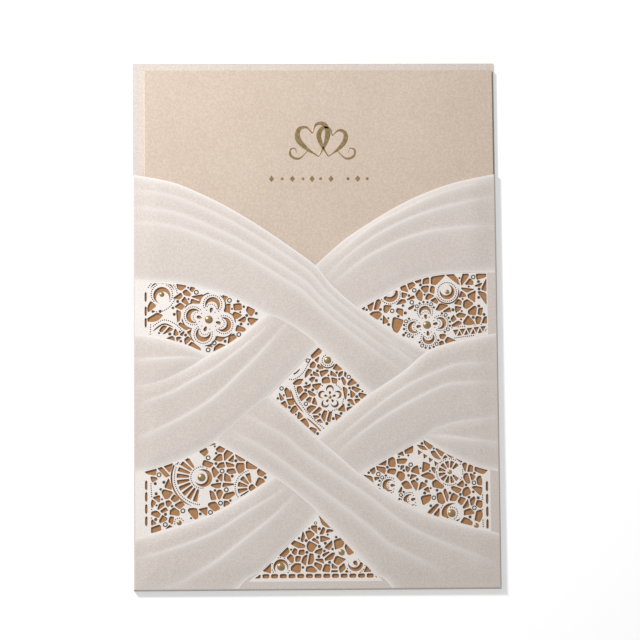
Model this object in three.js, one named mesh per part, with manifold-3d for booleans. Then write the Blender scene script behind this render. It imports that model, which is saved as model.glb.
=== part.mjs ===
// Wedding invitation: a laser cut pocket of pearl card that holds a folded card.
// Millimetres. X runs across the page, Y runs up the page and Z out of its face.
// The pocket lies on its back, and the origin is under the middle of its back panel.

import * as THREE from 'three';
import { mergeVertices } from 'three/addons/utils/BufferGeometryUtils.js';
import Module from 'manifold-3d';

const wasm = await Module();
wasm.setup();

// The pocket, folded from one sheet
const pocket_width = 127;
const pocket_height = 185;
const pocket_stock = 0.35;
const fold_radius = 0.6;

// The side flaps, folded in and glued to the back panel
const flap_width = 12;
const flap_foot = 9;
const flap_shoulder = 7;

// The folded card in the pocket
const card_stock = 0.3;
const card_leaf_gap = 0.2;
const card_left_reveal = 3.9;
const card_top_reveal = 2.7;
const card_slip = 0.35;
const card_face_slip = 0.15;

// The embossed drapes: their step, their height at the crown and the pleats on them
const drape_step = 0.22;
const drape_height = 0.7;
const drape_roll = 3;
const drape_margin = 0.5;
const pleat_height = 0.16;
const tucked_share = 0.3;
const drape_sink = 0.06;

// The lace windows
const border_width = 3.7;
const foot_width = 3;
const lace_rim = 0.7;
const lace_bar = 0.7;
const web_pitch = 7.6;
const smallest_gap = 5;

// How finely curves and surfaces are stepped
const seam_steps = 5;
const mouth_steps = 14;
const drape_stations = 10;
const arc_steps = 4;

// Heights of the stack, from the back panel up
const half_width = pocket_width / 2;
const half_height = pocket_height / 2;
const flap_top = 2 * pocket_stock;
const card_thickness = 2 * card_stock + card_leaf_gap;
const panel_under = flap_top + card_thickness + card_face_slip;
const panel_top = panel_under + pocket_stock;
const overshoot = 5;

// A point of the page, given in per cent of the half page, so that the drapes follow the pocket's size
const on_page = ([x, y]) => new THREE.Vector2(x * half_width / 100, y * half_height / 100);

// Corners where the drapes cross, named for the window that they belong to
const notch = [0, 22.2];
const left_tip = [-27.1, 3.7];
const left_apex = [-59.1, -11.9];
const right_tip = [23.9, 5.7];
const right_apex = [61.4, -10.6];
const diamond_top = [1.3, -8.4];
const diamond_right = [29.4, -26.6];
const diamond_foot = [0.5, -43.2];
const diamond_left = [-25.7, -27];
const lower_left_apex = [-55.9, -44.3];
const lower_left_tip = [-23.6, -57.7];
const lower_right_apex = [58.3, -43.5];
const lower_right_tip = [23.9, -57.1];
const foot_apex = [0.5, -71.4];

// Seams: the edges of the drapes between those corners, each drawn as a smooth curve
const seams = {
  mouth_left: [[-100, 57], [-78.7, 54.1], [-63, 49.8], [-47.2, 44.3], [-31.5, 37.7], [-15.7, 30.3], notch],
  mouth_right: [[100, 57], [78.7, 53.9], [63, 50.3], [47.2, 45.3], [31.5, 39], [15.7, 31.7], notch],
  below_notch: [notch, [7.9, 15.4], [15.7, 10.3], right_tip],
  left_top: [[-100, 16.4], [-78.7, 16], [-63, 13.8], [-47.2, 10.6], left_tip],
  left_inner: [left_tip, [-39.4, -3.5], [-47.2, -7.6], left_apex],
  left_outer: [left_apex, [-70.9, -8.2], [-86.6, -5], [-100, -3.8]],
  right_top: [[100, 19.2], [78.7, 19.2], [63, 18.1], [47.2, 14.6], [31.5, 8.6], right_tip],
  right_inner: [right_tip, [39.4, -1.9], [47.2, -5.4], right_apex],
  right_outer: [[100, -3.8], [78.7, -6.7], right_apex],
  above_diamond: [left_tip, [-12.6, -1.1], diamond_top],
  diamond_ne: [diamond_top, [15.4, -17.3], diamond_right],
  diamond_se: [diamond_right, [15, -34.7], diamond_foot],
  diamond_sw: [diamond_left, [-12.6, -35], diamond_foot],
  diamond_nw: [diamond_top, [-12.4, -17.8], diamond_left],
  right_of_diamond: [right_apex, [47.2, -18.4], diamond_right],
  left_of_diamond: [diamond_left, [-39.4, -34.9], lower_left_apex],
  below_left: [left_apex, [-70.9, -16.2], [-86.6, -20.3], [-100, -22.2]],
  lower_left_top: [lower_left_apex, [-70.9, -49.7], [-86.6, -53.6], [-100, -56]],
  lower_left_inner: [lower_left_apex, [-39.4, -50.6], lower_left_tip],
  lower_left_foot: [lower_left_tip, [-39.4, -64.9], [-55.1, -70.8], [-70.9, -74.9], [-100, -80.9]],
  lower_right_top: [lower_right_apex, [70.9, -48.9], [86.6, -53.8], [100, -56.2]],
  lower_right_inner: [lower_right_apex, [47.2, -47.6], [31.5, -53.5], lower_right_tip],
  lower_right_foot: [lower_right_tip, [39.4, -64.9], [55.1, -70.6], [70.9, -74.5], [100, -79.5]],
  right_fold: [[100, -37.3], [81.9, -37.8], [66.1, -40], lower_right_apex],
  below_diamond: [diamond_foot, [12.6, -50.3], lower_right_tip],
  above_foot: [lower_left_tip, [-11, -64.3], foot_apex],
  foot_left: [foot_apex, [-15.7, -82.7], [-31.5, -93], [-44.1, -100]],
  foot_right: [foot_apex, [15.7, -82.5], [31.5, -94.1], [40.9, -100]],
};

const reversed = (points) => [...points].reverse();
const joined = (...parts) => parts.flatMap((points, index) => (index ? points.slice(1) : points));

// Drapes: two edges each, the shares of the width where a pleat runs, and which ends are tucked under
const drapes = [
  {
    upper: joined(seams.mouth_left, seams.below_notch, seams.right_inner),
    lower: joined(seams.left_top, seams.above_diamond, seams.diamond_ne),
    pleats: [0.15, 0.31, 0.46],
    start: 1,
    end: tucked_share,
  },
  {
    upper: seams.mouth_right,
    lower: seams.right_top,
    pleats: [0.12, 0.3, 0.52],
    start: 1,
    end: tucked_share,
  },
  {
    upper: [[-22, 7], ...joined(seams.left_inner, seams.below_left)],
    lower: [[6, -5], ...joined(seams.diamond_nw, seams.left_of_diamond, seams.lower_left_top)],
    pleats: [0.2, 0.42],
    start: tucked_share,
    end: 1,
  },
  {
    upper: seams.left_outer,
    lower: [[-59.1, -14.5], [-70.9, -18], [-86.6, -23], [-100, -25]],
    pleats: [0.45],
    start: tucked_share,
    end: 0.8,
  },
  {
    upper: joined(seams.right_outer, seams.right_of_diamond, seams.diamond_se),
    lower: joined(seams.right_fold, seams.lower_right_inner),
    pleats: [0.33, 0.57],
    start: 1,
    end: tucked_share,
  },
  {
    upper: [[58.3, -41], [70.9, -37], [86.6, -35], [100, -34]],
    lower: seams.lower_right_top,
    pleats: [0.5],
    start: tucked_share,
    end: 0.8,
  },
  {
    upper: [
      [-28, -23], ...joined(seams.diamond_sw, seams.below_diamond, seams.lower_right_foot), [130, -86],
    ],
    lower: [
      [-58, -41], ...joined(seams.lower_left_inner, seams.above_foot, seams.foot_right), [75, -135],
    ],
    pleats: [0.22, 0.48],
    start: tucked_share,
    end: 1,
  },
  {
    upper: [[-20, -55], ...seams.lower_left_foot, [-130, -88]],
    lower: [[4, -69], ...seams.foot_left, [-80, -135]],
    pleats: [0.3, 0.62],
    start: tucked_share,
    end: 1,
  },
];

// Windows: the seams round each, and the lace ornaments in it
// A rosette has petals and an outer ring of crescents, and a fan spreads wedges over part of a turn
const windows = [
  {
    around: [seams.left_top, seams.left_inner, seams.left_outer],
    ornaments: [{ kind: 'rosette', place: [-58.6, 1.7], reach: 8.2, petals: 4, turn: 10 }],
  },
  {
    around: [seams.right_top, seams.right_inner, reversed(seams.right_outer)],
    ornaments: [
      { kind: 'rosette', place: [61.1, -0.6], reach: 6.8, petals: 4, turn: 45 },
      { kind: 'fan', place: [73, 12.5], reach: 3.6, petals: 4, turn: 0, sweep: 360 },
    ],
  },
  {
    around: [seams.diamond_ne, seams.diamond_se, reversed(seams.diamond_sw), reversed(seams.diamond_nw)],
    ornaments: [{ kind: 'fan', place: [7.4, -27.8], reach: 4.6, petals: 5, turn: 20, sweep: 360 }],
  },
  {
    around: [seams.lower_left_inner, seams.lower_left_foot, reversed(seams.lower_left_top)],
    ornaments: [
      { kind: 'fan', place: [-63, -57.7], reach: 6, petals: 7, turn: 60, sweep: 360 },
      { kind: 'fan', place: [-36.5, -58.8], reach: 3.4, petals: 3, turn: 60, sweep: 240 },
    ],
  },
  {
    around: [seams.lower_right_inner, seams.lower_right_foot, reversed(seams.lower_right_top)],
    ornaments: [
      { kind: 'fan', place: [40, -59.6], reach: 3.9, petals: 4, turn: 45, sweep: 360 },
      { kind: 'fan', place: [53.5, -64], reach: 3.9, petals: 4, turn: 0, sweep: 360 },
      { kind: 'fan', place: [73, -57], reach: 3.6, petals: 4, turn: 0, sweep: 360 },
    ],
  },
  {
    around: [seams.foot_left, reversed(seams.foot_right)],
    ornaments: [
      { kind: 'fan', place: [-19.5, -91.2], reach: 2.8, petals: 3, turn: 0, sweep: 360 },
      { kind: 'fan', place: [19, -90.5], reach: 3, petals: 3, turn: 60, sweep: 360 },
    ],
  },
];

// Solids from geometry: a closed mesh with merged vertices, turned to face outwards
function to_solid(geometry) {
  geometry.deleteAttribute('normal');
  geometry.deleteAttribute('uv');
  const merged = mergeVertices(geometry, 1e-4);
  const vertProperties = new Float32Array(merged.attributes.position.array);
  const triVerts = new Uint32Array(merged.index.array);
  return new wasm.Manifold(new wasm.Mesh({ numProp: 3, vertProperties, triVerts }));
}

function to_geometry(solid) {
  const { vertProperties, triVerts } = solid.getMesh();
  const geometry = new THREE.BufferGeometry();
  geometry.setAttribute('position', new THREE.BufferAttribute(vertProperties, 3));
  geometry.setIndex(new THREE.BufferAttribute(triVerts, 1));
  geometry.computeVertexNormals();
  return geometry;
}

// A plate of the given outline between two heights
function plate(shapes, low, high) {
  const geometry = new THREE.ExtrudeGeometry(shapes, { depth: high - low, bevelEnabled: false, curveSegments: 6 });
  geometry.translate(0, 0, low);
  return to_solid(geometry);
}

// A section drawn in X and Z, run along Y
function run_along_y(section, from, to) {
  const options = { depth: to - from, bevelEnabled: false, curveSegments: arc_steps };
  const geometry = new THREE.ExtrudeGeometry(section, options);
  geometry.rotateX(Math.PI / 2);
  geometry.translate(0, to, 0);
  return to_solid(geometry);
}

// A section drawn in Y and Z, run along X
function run_along_x(section, from, to) {
  const options = { depth: to - from, bevelEnabled: false, curveSegments: arc_steps };
  const geometry = new THREE.ExtrudeGeometry(section, options);
  geometry.rotateX(Math.PI / 2);
  geometry.rotateZ(Math.PI / 2);
  geometry.translate(from, 0, 0);
  return to_solid(geometry);
}

const seam_curve = (points) => new THREE.SplineCurve(points.map(on_page));

// The points of a closed outline made of seams, which meet in the named corners
function outline_points(around) {
  const points = around.flatMap((seam) => seam_curve(seam).getSpacedPoints(seam_steps));
  return points.filter((point, index) => point.distanceTo(points.at(index - 1)) > 1e-6);
}

// Keeps the side of a polygon that lies along the direction, past the given offset from the origin
function clipped(polygon, direction, offset) {
  const kept = [];
  polygon.forEach((point, index) => {
    const next = polygon[(index + 1) % polygon.length];
    const depth = point.dot(direction) - offset;
    const next_depth = next.dot(direction) - offset;
    if (depth >= 0) {
      kept.push(point);
    }
    if (depth * next_depth < 0) {
      kept.push(point.clone().lerp(next, depth / (depth - next_depth)));
    }
  });
  return kept;
}

// A polygon drawn in by a distance towards its own middle, for the plain rim round a window
function drawn_in(polygon, distance) {
  const middle = new THREE.Vector2();
  polygon.forEach((point) => middle.addScaledVector(point, 1 / polygon.length));
  return polygon.map((point) => {
    const inward = middle.clone().sub(point);
    return point.clone().addScaledVector(inward, distance / inward.length());
  });
}

// A wedge shaped gap of a rosette or fan, from an inner to an outer radius and round at its outer end
function wedge_gap(middle, inner, outer, from, to) {
  const points = [];
  for (let step = 0; step <= arc_steps; step += 1) {
    const angle = from + (to - from) * step / arc_steps;
    const bulge = Math.sin(Math.PI * step / arc_steps);
    const radius = outer * (0.8 + 0.2 * bulge);
    points.push(new THREE.Vector2(Math.cos(angle), Math.sin(angle)).multiplyScalar(radius).add(middle));
  }
  const heart = (from + to) / 2;
  points.push(new THREE.Vector2(Math.cos(heart), Math.sin(heart)).multiplyScalar(inner).add(middle));
  return points;
}

// A crescent gap outside a petal
function crescent_gap(middle, radius, depth, from, to) {
  const outer = [];
  const inner = [];
  for (let step = 0; step <= arc_steps; step += 1) {
    const angle = from + (to - from) * step / arc_steps;
    const direction = new THREE.Vector2(Math.cos(angle), Math.sin(angle));
    const swell = depth * Math.sin(Math.PI * step / arc_steps);
    outer.push(direction.clone().multiplyScalar(radius + swell).add(middle));
    if (step > 0 && step < arc_steps) {
      inner.push(direction.clone().multiplyScalar(radius - 0.35 * swell).add(middle));
    }
  }
  return [...outer, ...inner.reverse()];
}

// All gaps of one ornament
function ornament_gaps({ kind, place, reach, petals, turn, sweep = 360 }) {
  const middle = on_page(place);
  const gaps = [];
  const share = THREE.MathUtils.degToRad(sweep) / petals;
  for (let petal = 0; petal < petals; petal += 1) {
    const heart = THREE.MathUtils.degToRad(turn) + share * (petal + 0.5);
    const petal_reach = kind === 'rosette' ? 0.62 * reach : reach - lace_bar;
    const spread = share / 2 - lace_bar / petal_reach;
    gaps.push(wedge_gap(middle, 0.2 * reach, petal_reach, heart - spread, heart + spread));
    if (kind === 'rosette') {
      const crescent_radius = petal_reach + lace_bar;
      const crescent_depth = reach - lace_bar - crescent_radius;
      const crescent_spread = 0.8 * share / 2;
      const from = heart - crescent_spread;
      gaps.push(crescent_gap(middle, crescent_radius, crescent_depth, from, heart + crescent_spread));
    }
  }
  return gaps;
}

// The web between the ornaments: one gap round each scattered seed, with a bar's width left between gaps
function web_gaps(rim, ornaments) {
  const box = new THREE.Box2().setFromPoints(rim);
  const seeds = [];
  const row_pitch = web_pitch * Math.sqrt(3) / 2;
  const rows = Math.ceil((box.max.y - box.min.y) / row_pitch);
  const columns = Math.ceil((box.max.x - box.min.x) / web_pitch);
  for (let row = 0; row <= rows; row += 1) {
    for (let column = 0; column <= columns; column += 1) {
      const count = row * 31 + column * 17;
      const scatter = new THREE.Vector2((count * 0.618) % 1 - 0.5, (count * 0.755) % 1 - 0.5);
      const offset = new THREE.Vector2((column + row % 2 / 2) * web_pitch, row * row_pitch);
      seeds.push(box.min.clone().add(offset).addScaledVector(scatter, 0.55 * web_pitch));
    }
  }
  const near_ornament = (seed) => ornaments.some((ornament) => {
    return seed.distanceTo(on_page(ornament.place)) < ornament.reach + lace_bar;
  });
  const free_seeds = seeds.filter((seed) => !near_ornament(seed));
  const gaps = [];
  for (const seed of free_seeds) {
    let gap = rim;
    for (const other of free_seeds) {
      const away = seed.clone().sub(other);
      if (other !== seed && away.length() < 3 * web_pitch) {
        const direction = away.clone().normalize();
        const middle = seed.clone().add(other).multiplyScalar(0.5);
        gap = clipped(gap, direction, middle.dot(direction) + lace_bar / 2);
      }
    }
    for (const { place, reach } of ornaments) {
      const direction = seed.clone().sub(on_page(place)).normalize();
      gap = clipped(gap, direction, on_page(place).dot(direction) + reach);
    }
    if (gap.length > 2 && Math.abs(THREE.ShapeUtils.area(gap)) > smallest_gap) {
      gaps.push(gap);
    }
  }
  return gaps;
}

// The gaps of one window as a solid to cut away, kept inside its rim and the page's plain borders
function window_cutter({ around, ornaments }, low, high) {
  let rim = drawn_in(outline_points(around), lace_rim);
  const borders = [
    [new THREE.Vector2(1, 0), border_width - half_width],
    [new THREE.Vector2(-1, 0), border_width - half_width],
    [new THREE.Vector2(0, 1), foot_width - half_height],
  ];
  for (const [direction, offset] of borders) {
    rim = clipped(rim, direction, offset);
  }
  const to_shape = (points) => new THREE.Shape(points);
  const ornament_cutter = plate(ornaments.flatMap(ornament_gaps).map(to_shape), low, high);
  const web_cutter = plate(web_gaps(rim, ornaments).map(to_shape), low, high);
  return ornament_cutter.intersect(plate(to_shape(rim), low, high)).add(web_cutter);
}

// The height of a drape above the panel, at a share of its width and of its length
function drape_relief(drape, across, along, to_edge, point) {
  const roll = Math.sin(Math.PI / 2 * Math.min(1, to_edge / drape_roll));
  const pleat = drape.pleats.some((share) => Math.abs(share - across) < 1e-6) ? pleat_height : 0;
  const held = THREE.MathUtils.lerp(drape.start, drape.end, THREE.MathUtils.smoothstep(along, 0.1, 0.9));
  const to_fold = Math.min(half_width - Math.abs(point.x), half_height + point.y);
  const fade = THREE.MathUtils.smoothstep(to_fold, 0, border_width);
  return fade * held * (drape_step + (drape_height - drape_step) * roll + pleat * roll) - drape_sink;
}

// One drape as a closed lofted body between its two edges, from a flat underside to its relief
function drape_solid(drape, low, face, inset) {
  const upper = seam_curve(drape.upper);
  const lower = seam_curve(drape.lower);
  const valleys = drape.pleats.flatMap((share) => [share, share + 0.07]);
  const shares = [0, 0.05, ...valleys, 0.95, 1];
  const position = [];
  for (let station = 0; station <= drape_stations; station += 1) {
    const along = station / drape_stations;
    const start = upper.getPointAt(along);
    const span = lower.getPointAt(along).sub(start);
    const trim = Math.min(0.4, inset / span.length());
    for (const share of shares) {
      const across = THREE.MathUtils.lerp(trim, 1 - trim, share);
      const point = start.clone().addScaledVector(span, across);
      const to_edge = Math.min(share, 1 - share) * span.length();
      const height = face + drape_relief(drape, share, along, to_edge, point);
      position.push(point.x, point.y, low, point.x, point.y, height);
    }
  }
  const index = [];
  const columns = shares.length;
  const node = (station, column, top) => 2 * (station * columns + column) + top;
  const quad = (a, b, c, d) => index.push(a, b, c, a, c, d);
  for (let station = 0; station < drape_stations; station += 1) {
    for (let column = 0; column < columns - 1; column += 1) {
      for (const top of [0, 1]) {
        const corners = [node(station, column, top), node(station + 1, column, top)];
        const far = [node(station + 1, column + 1, top), node(station, column + 1, top)];
        quad(...(top ? [...corners, ...far] : [...corners, ...far].reverse()));
      }
    }
    const last = columns - 1;
    quad(node(station, 0, 0), node(station + 1, 0, 0), node(station + 1, 0, 1), node(station, 0, 1));
    quad(node(station, last, 1), node(station + 1, last, 1), node(station + 1, last, 0), node(station, last, 0));
  }
  for (let column = 0; column < columns - 1; column += 1) {
    const end = drape_stations;
    quad(node(0, column, 1), node(0, column + 1, 1), node(0, column + 1, 0), node(0, column, 0));
    quad(node(end, column, 0), node(end, column + 1, 0), node(end, column + 1, 1), node(end, column, 1));
  }
  const turned = new THREE.Vector3(...position.slice(0, 3));
  const along_edge = new THREE.Vector3(...position.slice(6 * columns, 6 * columns + 3)).sub(turned);
  const across_end = new THREE.Vector3(...position.slice(6 * (columns - 1), 6 * (columns - 1) + 3)).sub(turned);
  if (along_edge.cross(across_end).z < 0) {
    index.reverse();
  }
  const geometry = new THREE.BufferGeometry();
  geometry.setAttribute('position', new THREE.BufferAttribute(new Float32Array(position), 3));
  geometry.setIndex(index);
  return to_solid(geometry);
}

// The hollow sleeve before it is opened: rounded where the sheet is folded, at both sides and at the foot
function sleeve(inset) {
  const side = half_width - inset;
  const radius = fold_radius - inset;
  const low = inset;
  const high = panel_top - inset;
  const across = new THREE.Shape();
  across.moveTo(-side, low);
  across.lineTo(side, low);
  across.absarc(side - radius, high - radius, radius, 0, Math.PI / 2, false);
  across.absarc(-side + radius, high - radius, radius, Math.PI / 2, Math.PI, false);
  const foot = -half_height + inset;
  const head = half_height + (inset ? overshoot : 0);
  const upright = new THREE.Shape();
  upright.moveTo(head, low);
  upright.lineTo(head, high);
  upright.absarc(foot + radius, high - radius, radius, Math.PI / 2, Math.PI, false);
  upright.absarc(foot + radius, low + radius, radius, Math.PI, 1.5 * Math.PI, false);
  return run_along_y(across, foot, head).intersect(run_along_x(upright, -side, side));
}

// The region above the curved mouth of the front panel
function mouth_shape() {
  const left = seam_curve(seams.mouth_left).getSpacedPoints(mouth_steps);
  const right = seam_curve(reversed(seams.mouth_right)).getSpacedPoints(mouth_steps).slice(1);
  const beyond = half_width + overshoot;
  const above = half_height + overshoot;
  const corners = [
    new THREE.Vector2(beyond, right.at(-1).y),
    new THREE.Vector2(beyond, above),
    new THREE.Vector2(-beyond, above),
    new THREE.Vector2(-beyond, left[0].y),
  ];
  return new THREE.Shape([...left, ...right, ...corners]);
}

// One glue flap, hinged on the side fold and cut back at both ends
function flap_shape(side) {
  const hinge = side * (half_width - pocket_stock / 2);
  const edge = side * (half_width - flap_width);
  const foot = -half_height + flap_foot;
  const head = on_page(seams.mouth_left[0]).y - pocket_stock;
  return new THREE.Shape([
    new THREE.Vector2(hinge, foot - flap_shoulder / 2),
    new THREE.Vector2(edge, foot + flap_shoulder / 2),
    new THREE.Vector2(edge, head - flap_shoulder),
    new THREE.Vector2(hinge, head),
  ]);
}

// The pocket: back panel, folds, draped front panel with its lace windows, and glue flaps
function build_pocket() {
  const page = [[-100, -100], [100, -100], [100, 100], [-100, 100]].map(on_page);
  const inner_page = new THREE.Shape(drawn_in(page, fold_radius));
  const relief_top = panel_top + 2 * drape_height;
  const panel_middle = panel_under + pocket_stock / 2;
  const below_panel = panel_under - pocket_stock / 2;
  let raised = drape_solid(drapes[0], panel_middle, panel_top, drape_margin);
  let pressed = drape_solid(drapes[0], below_panel, panel_under, drape_margin + pocket_stock);
  for (const drape of drapes.slice(1)) {
    raised = raised.add(drape_solid(drape, panel_middle, panel_top, drape_margin));
    pressed = pressed.add(drape_solid(drape, below_panel, panel_under, drape_margin + pocket_stock));
  }
  const within_folds = plate(inner_page, below_panel, relief_top);
  const mouth = plate(mouth_shape(), pocket_stock, relief_top + overshoot);
  let pocket = sleeve(0).subtract(sleeve(pocket_stock));
  pocket = pocket.add(raised.intersect(within_folds)).subtract(pressed.intersect(within_folds));
  pocket = pocket.subtract(mouth);
  for (const side of [-1, 1]) {
    pocket = pocket.add(plate(flap_shape(side), pocket_stock / 2, flap_top));
  }
  for (const lace_window of windows) {
    pocket = pocket.subtract(window_cutter(lace_window, below_panel, relief_top));
  }
  return pocket;
}

// The folded card: two leaves joined by a round fold at the left
function build_card() {
  const left = -half_width + card_left_reveal;
  const right = half_width - pocket_stock - card_slip;
  const foot = -half_height + pocket_stock + card_slip;
  const head = half_height - card_top_reveal;
  const outer = card_thickness / 2;
  const inner = card_leaf_gap / 2;
  const middle = flap_top + outer;
  const section = new THREE.Shape();
  section.moveTo(right, flap_top);
  section.lineTo(right, flap_top + card_stock);
  section.absarc(left + outer, middle, inner, -Math.PI / 2, Math.PI / 2, true);
  section.lineTo(right, middle + inner);
  section.lineTo(right, middle + outer);
  section.absarc(left + outer, middle, outer, Math.PI / 2, 1.5 * Math.PI, false);
  return run_along_y(section, foot, head);
}

const pearl_ivory = new THREE.MeshStandardMaterial({ color: 0xe8e0d9, roughness: 0.5, metalness: 0.05 });
const champagne = new THREE.MeshStandardMaterial({ color: 0xd8c8b5, roughness: 0.45, metalness: 0.1 });

const pocket = new THREE.Mesh(to_geometry(build_pocket()), pearl_ivory);
pocket.name = 'pocket';

const invitation_card = new THREE.Mesh(to_geometry(build_card()), champagne);
invitation_card.name = 'invitation_card';

const invitation = new THREE.Group();
invitation.add(pocket, invitation_card);

export default invitation;
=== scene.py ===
# A wedding invitation: a folded pearl card in a lace-cut pocket of pearl paper.
# It lies on its back on a white table, and is seen from above in soft light from the upper left.

import bmesh
import bpy
import numpy as np
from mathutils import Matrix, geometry


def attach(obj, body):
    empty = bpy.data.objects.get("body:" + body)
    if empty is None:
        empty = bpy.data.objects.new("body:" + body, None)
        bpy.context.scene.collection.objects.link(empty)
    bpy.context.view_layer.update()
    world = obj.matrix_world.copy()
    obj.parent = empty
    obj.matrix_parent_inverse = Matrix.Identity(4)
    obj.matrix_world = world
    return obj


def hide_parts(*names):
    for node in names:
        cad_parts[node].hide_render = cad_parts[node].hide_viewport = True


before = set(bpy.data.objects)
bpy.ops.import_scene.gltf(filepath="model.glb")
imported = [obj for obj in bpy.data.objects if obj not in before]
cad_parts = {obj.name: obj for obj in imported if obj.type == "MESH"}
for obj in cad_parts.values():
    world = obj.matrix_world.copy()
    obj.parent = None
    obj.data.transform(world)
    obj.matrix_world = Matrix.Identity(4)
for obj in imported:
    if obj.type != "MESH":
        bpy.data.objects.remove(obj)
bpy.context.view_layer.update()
mm = 0.001


# Pocket front
# The front panel of the pocket, from one sheet of ivory pearl paper. A laser cuts its curved mouth
# and the lace in its six windows, which leaves thin burnt edges round every gap.

half_width = 63.5
half_height = 92.5
paper = 0.35
panel_under = 1.65
panel_top = panel_under + paper
fold_radius = 0.6
border = 3.7
foot_border = 3.2
rim_width = 0.4
bar_width = 0.46
panel_side = half_width - fold_radius
panel_foot = -half_height + fold_radius
side_step = 0.12
bare_rim, painted_light_border = 0.3, 3.1

# Corners where the drapes cross, and the seams between them, in per cent of the half page
notch = (0, 22.2)
left_tip, left_apex = (-27.1, 3.7), (-59.1, -11.9)
right_tip, right_apex = (23.9, 5.7), (61.4, -10.6)
diamond_top, diamond_right = (1.3, -8.4), (29.4, -26.6)
diamond_foot, diamond_left = (0.5, -43.2), (-25.7, -27)
lower_left_apex, lower_left_tip = (-55.9, -44.3), (-23.6, -57.7)
lower_right_apex, lower_right_tip = (58.3, -43.5), (23.9, -57.1)
foot_apex = (0.5, -71.4)
seams = {
    "mouth_left": [
        (-100, 57), (-78.7, 54.1), (-63, 49.8), (-47.2, 44.3), (-31.5, 37.7), (-15.7, 30.3), notch],
    "mouth_right": [(100, 57), (78.7, 53.9), (63, 50.3), (47.2, 45.3), (31.5, 39), (15.7, 31.7), notch],
    "below_notch": [notch, (7.9, 15.4), (15.7, 10.3), right_tip],
    "left_top": [(-100, 16.4), (-78.7, 16), (-63, 13.8), (-47.2, 10.6), left_tip],
    "left_inner": [left_tip, (-39.4, -3.5), (-47.2, -7.6), left_apex],
    "left_outer": [left_apex, (-70.9, -8.2), (-86.6, -5), (-100, -3.8)],
    "right_top": [(100, 19.2), (78.7, 19.2), (63, 18.1), (47.2, 14.6), (31.5, 8.6), right_tip],
    "right_inner": [right_tip, (39.4, -1.9), (47.2, -5.4), right_apex],
    "right_outer": [(100, -3.8), (78.7, -6.7), right_apex],
    "above_diamond": [left_tip, (-12.6, -1.1), diamond_top],
    "diamond_ne": [diamond_top, (15.4, -17.3), diamond_right],
    "diamond_se": [diamond_right, (15, -34.7), diamond_foot],
    "diamond_sw": [diamond_left, (-12.6, -35), diamond_foot],
    "diamond_nw": [diamond_top, (-12.4, -17.8), diamond_left],
    "right_of_diamond": [right_apex, (47.2, -18.4), diamond_right],
    "left_of_diamond": [diamond_left, (-39.4, -34.9), lower_left_apex],
    "below_left": [left_apex, (-70.9, -16.2), (-86.6, -20.3), (-100, -22.2)],
    "lower_left_top": [lower_left_apex, (-70.9, -49.7), (-86.6, -53.6), (-100, -56)],
    "lower_left_inner": [lower_left_apex, (-39.4, -50.6), lower_left_tip],
    "lower_left_foot": [lower_left_tip, (-39.4, -64.9), (-55.1, -70.8), (-70.9, -74.9), (-100, -80.9)],
    "lower_right_top": [lower_right_apex, (70.9, -48.9), (86.6, -53.8), (100, -56.2)],
    "lower_right_inner": [lower_right_apex, (47.2, -47.6), (31.5, -53.5), lower_right_tip],
    "lower_right_foot": [lower_right_tip, (39.4, -64.9), (55.1, -70.6), (70.9, -74.5), (100, -79.5)],
    "right_fold": [(100, -37.3), (81.9, -37.8), (66.1, -40), lower_right_apex],
    "below_diamond": [diamond_foot, (12.6, -50.3), lower_right_tip],
    "above_foot": [lower_left_tip, (-11, -64.3), foot_apex],
    "foot_left": [foot_apex, (-15.7, -82.7), (-31.5, -93), (-44.1, -100)],
    "foot_right": [foot_apex, (15.7, -82.5), (31.5, -94.1), (40.9, -100)],
}
window_seams = {
    "left": ("left_top", "left_inner", "left_outer"),
    "right": ("right_top", "right_inner", "-right_outer"),
    "diamond": ("diamond_ne", "diamond_se", "-diamond_sw", "-diamond_nw"),
    "lower_left": ("lower_left_inner", "lower_left_foot", "-lower_left_top"),
    "lower_right": ("lower_right_inner", "lower_right_foot", "-lower_right_top"),
    "foot": ("foot_left", "-foot_right"),
}


def on_page(points):
    """Millimetres from per cent of the half page."""
    return np.asarray(points, float) * (half_width, half_height) / 100


def spline(points, count):
    """A smooth curve through the points: on each stretch a cubic whose slope at a point is half the way
    from the point before to the point after, with its samples evenly spaced."""
    knots = np.asarray(points, float)
    padded = np.vstack([knots[:1], knots, knots[-1:]])
    along = np.linspace(0, len(knots) - 1, 40 * (len(knots) - 1) + 1)
    piece = np.minimum(along.astype(int), len(knots) - 2)
    s = (along - piece)[:, None]
    a, b, c, d = (padded[piece + step] for step in range(4))
    curve = 0.5 * (2 * b + (c - a) * s + (2 * a - 5 * b + 4 * c - d) * s**2 + (3 * b - a - 3 * c + d) * s**3)
    length = np.append(0, np.cumsum(np.linalg.norm(np.diff(curve, axis=0), axis=1)))
    even = np.linspace(0, length[-1], count)
    return np.stack([np.interp(even, length, curve[:, axis]) for axis in (0, 1)], axis=1)


def seam(name, count):
    """A seam's points on the page, turned end for end where its name starts with a minus."""
    points = spline(on_page(seams[name.lstrip("-")]), count)
    return points[::-1] if name.startswith("-") else points


def area(outline):
    """Half the sum of the cross products of each point with the next, positive if it runs anticlockwise."""
    x, y = outline.T
    return 0.5 * np.sum(x * np.roll(y, -1) - y * np.roll(x, -1))


def clipped(outline, direction, offset):
    """The part of an outline whose distance along the direction is more than the offset."""
    depth = outline @ direction - offset
    here, after = depth >= 0, np.roll(depth, -1)
    crosses = here != (after >= 0)
    share = depth / np.where(crosses, depth - after, 1)
    crossing = outline + (np.roll(outline, -1, axis=0) - outline) * share[:, None]
    return np.stack([outline, crossing], axis=1)[np.stack([here, crosses], axis=1)]


def softened(outline, cut=0.2):
    """An outline with its corners cut: each side keeps its middle and loses a share at both ends."""
    after = np.roll(outline, -1, axis=0)
    step = cut * (after - outline)
    return np.stack([outline + step, after - step], axis=1).reshape(-1, 2)


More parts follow.
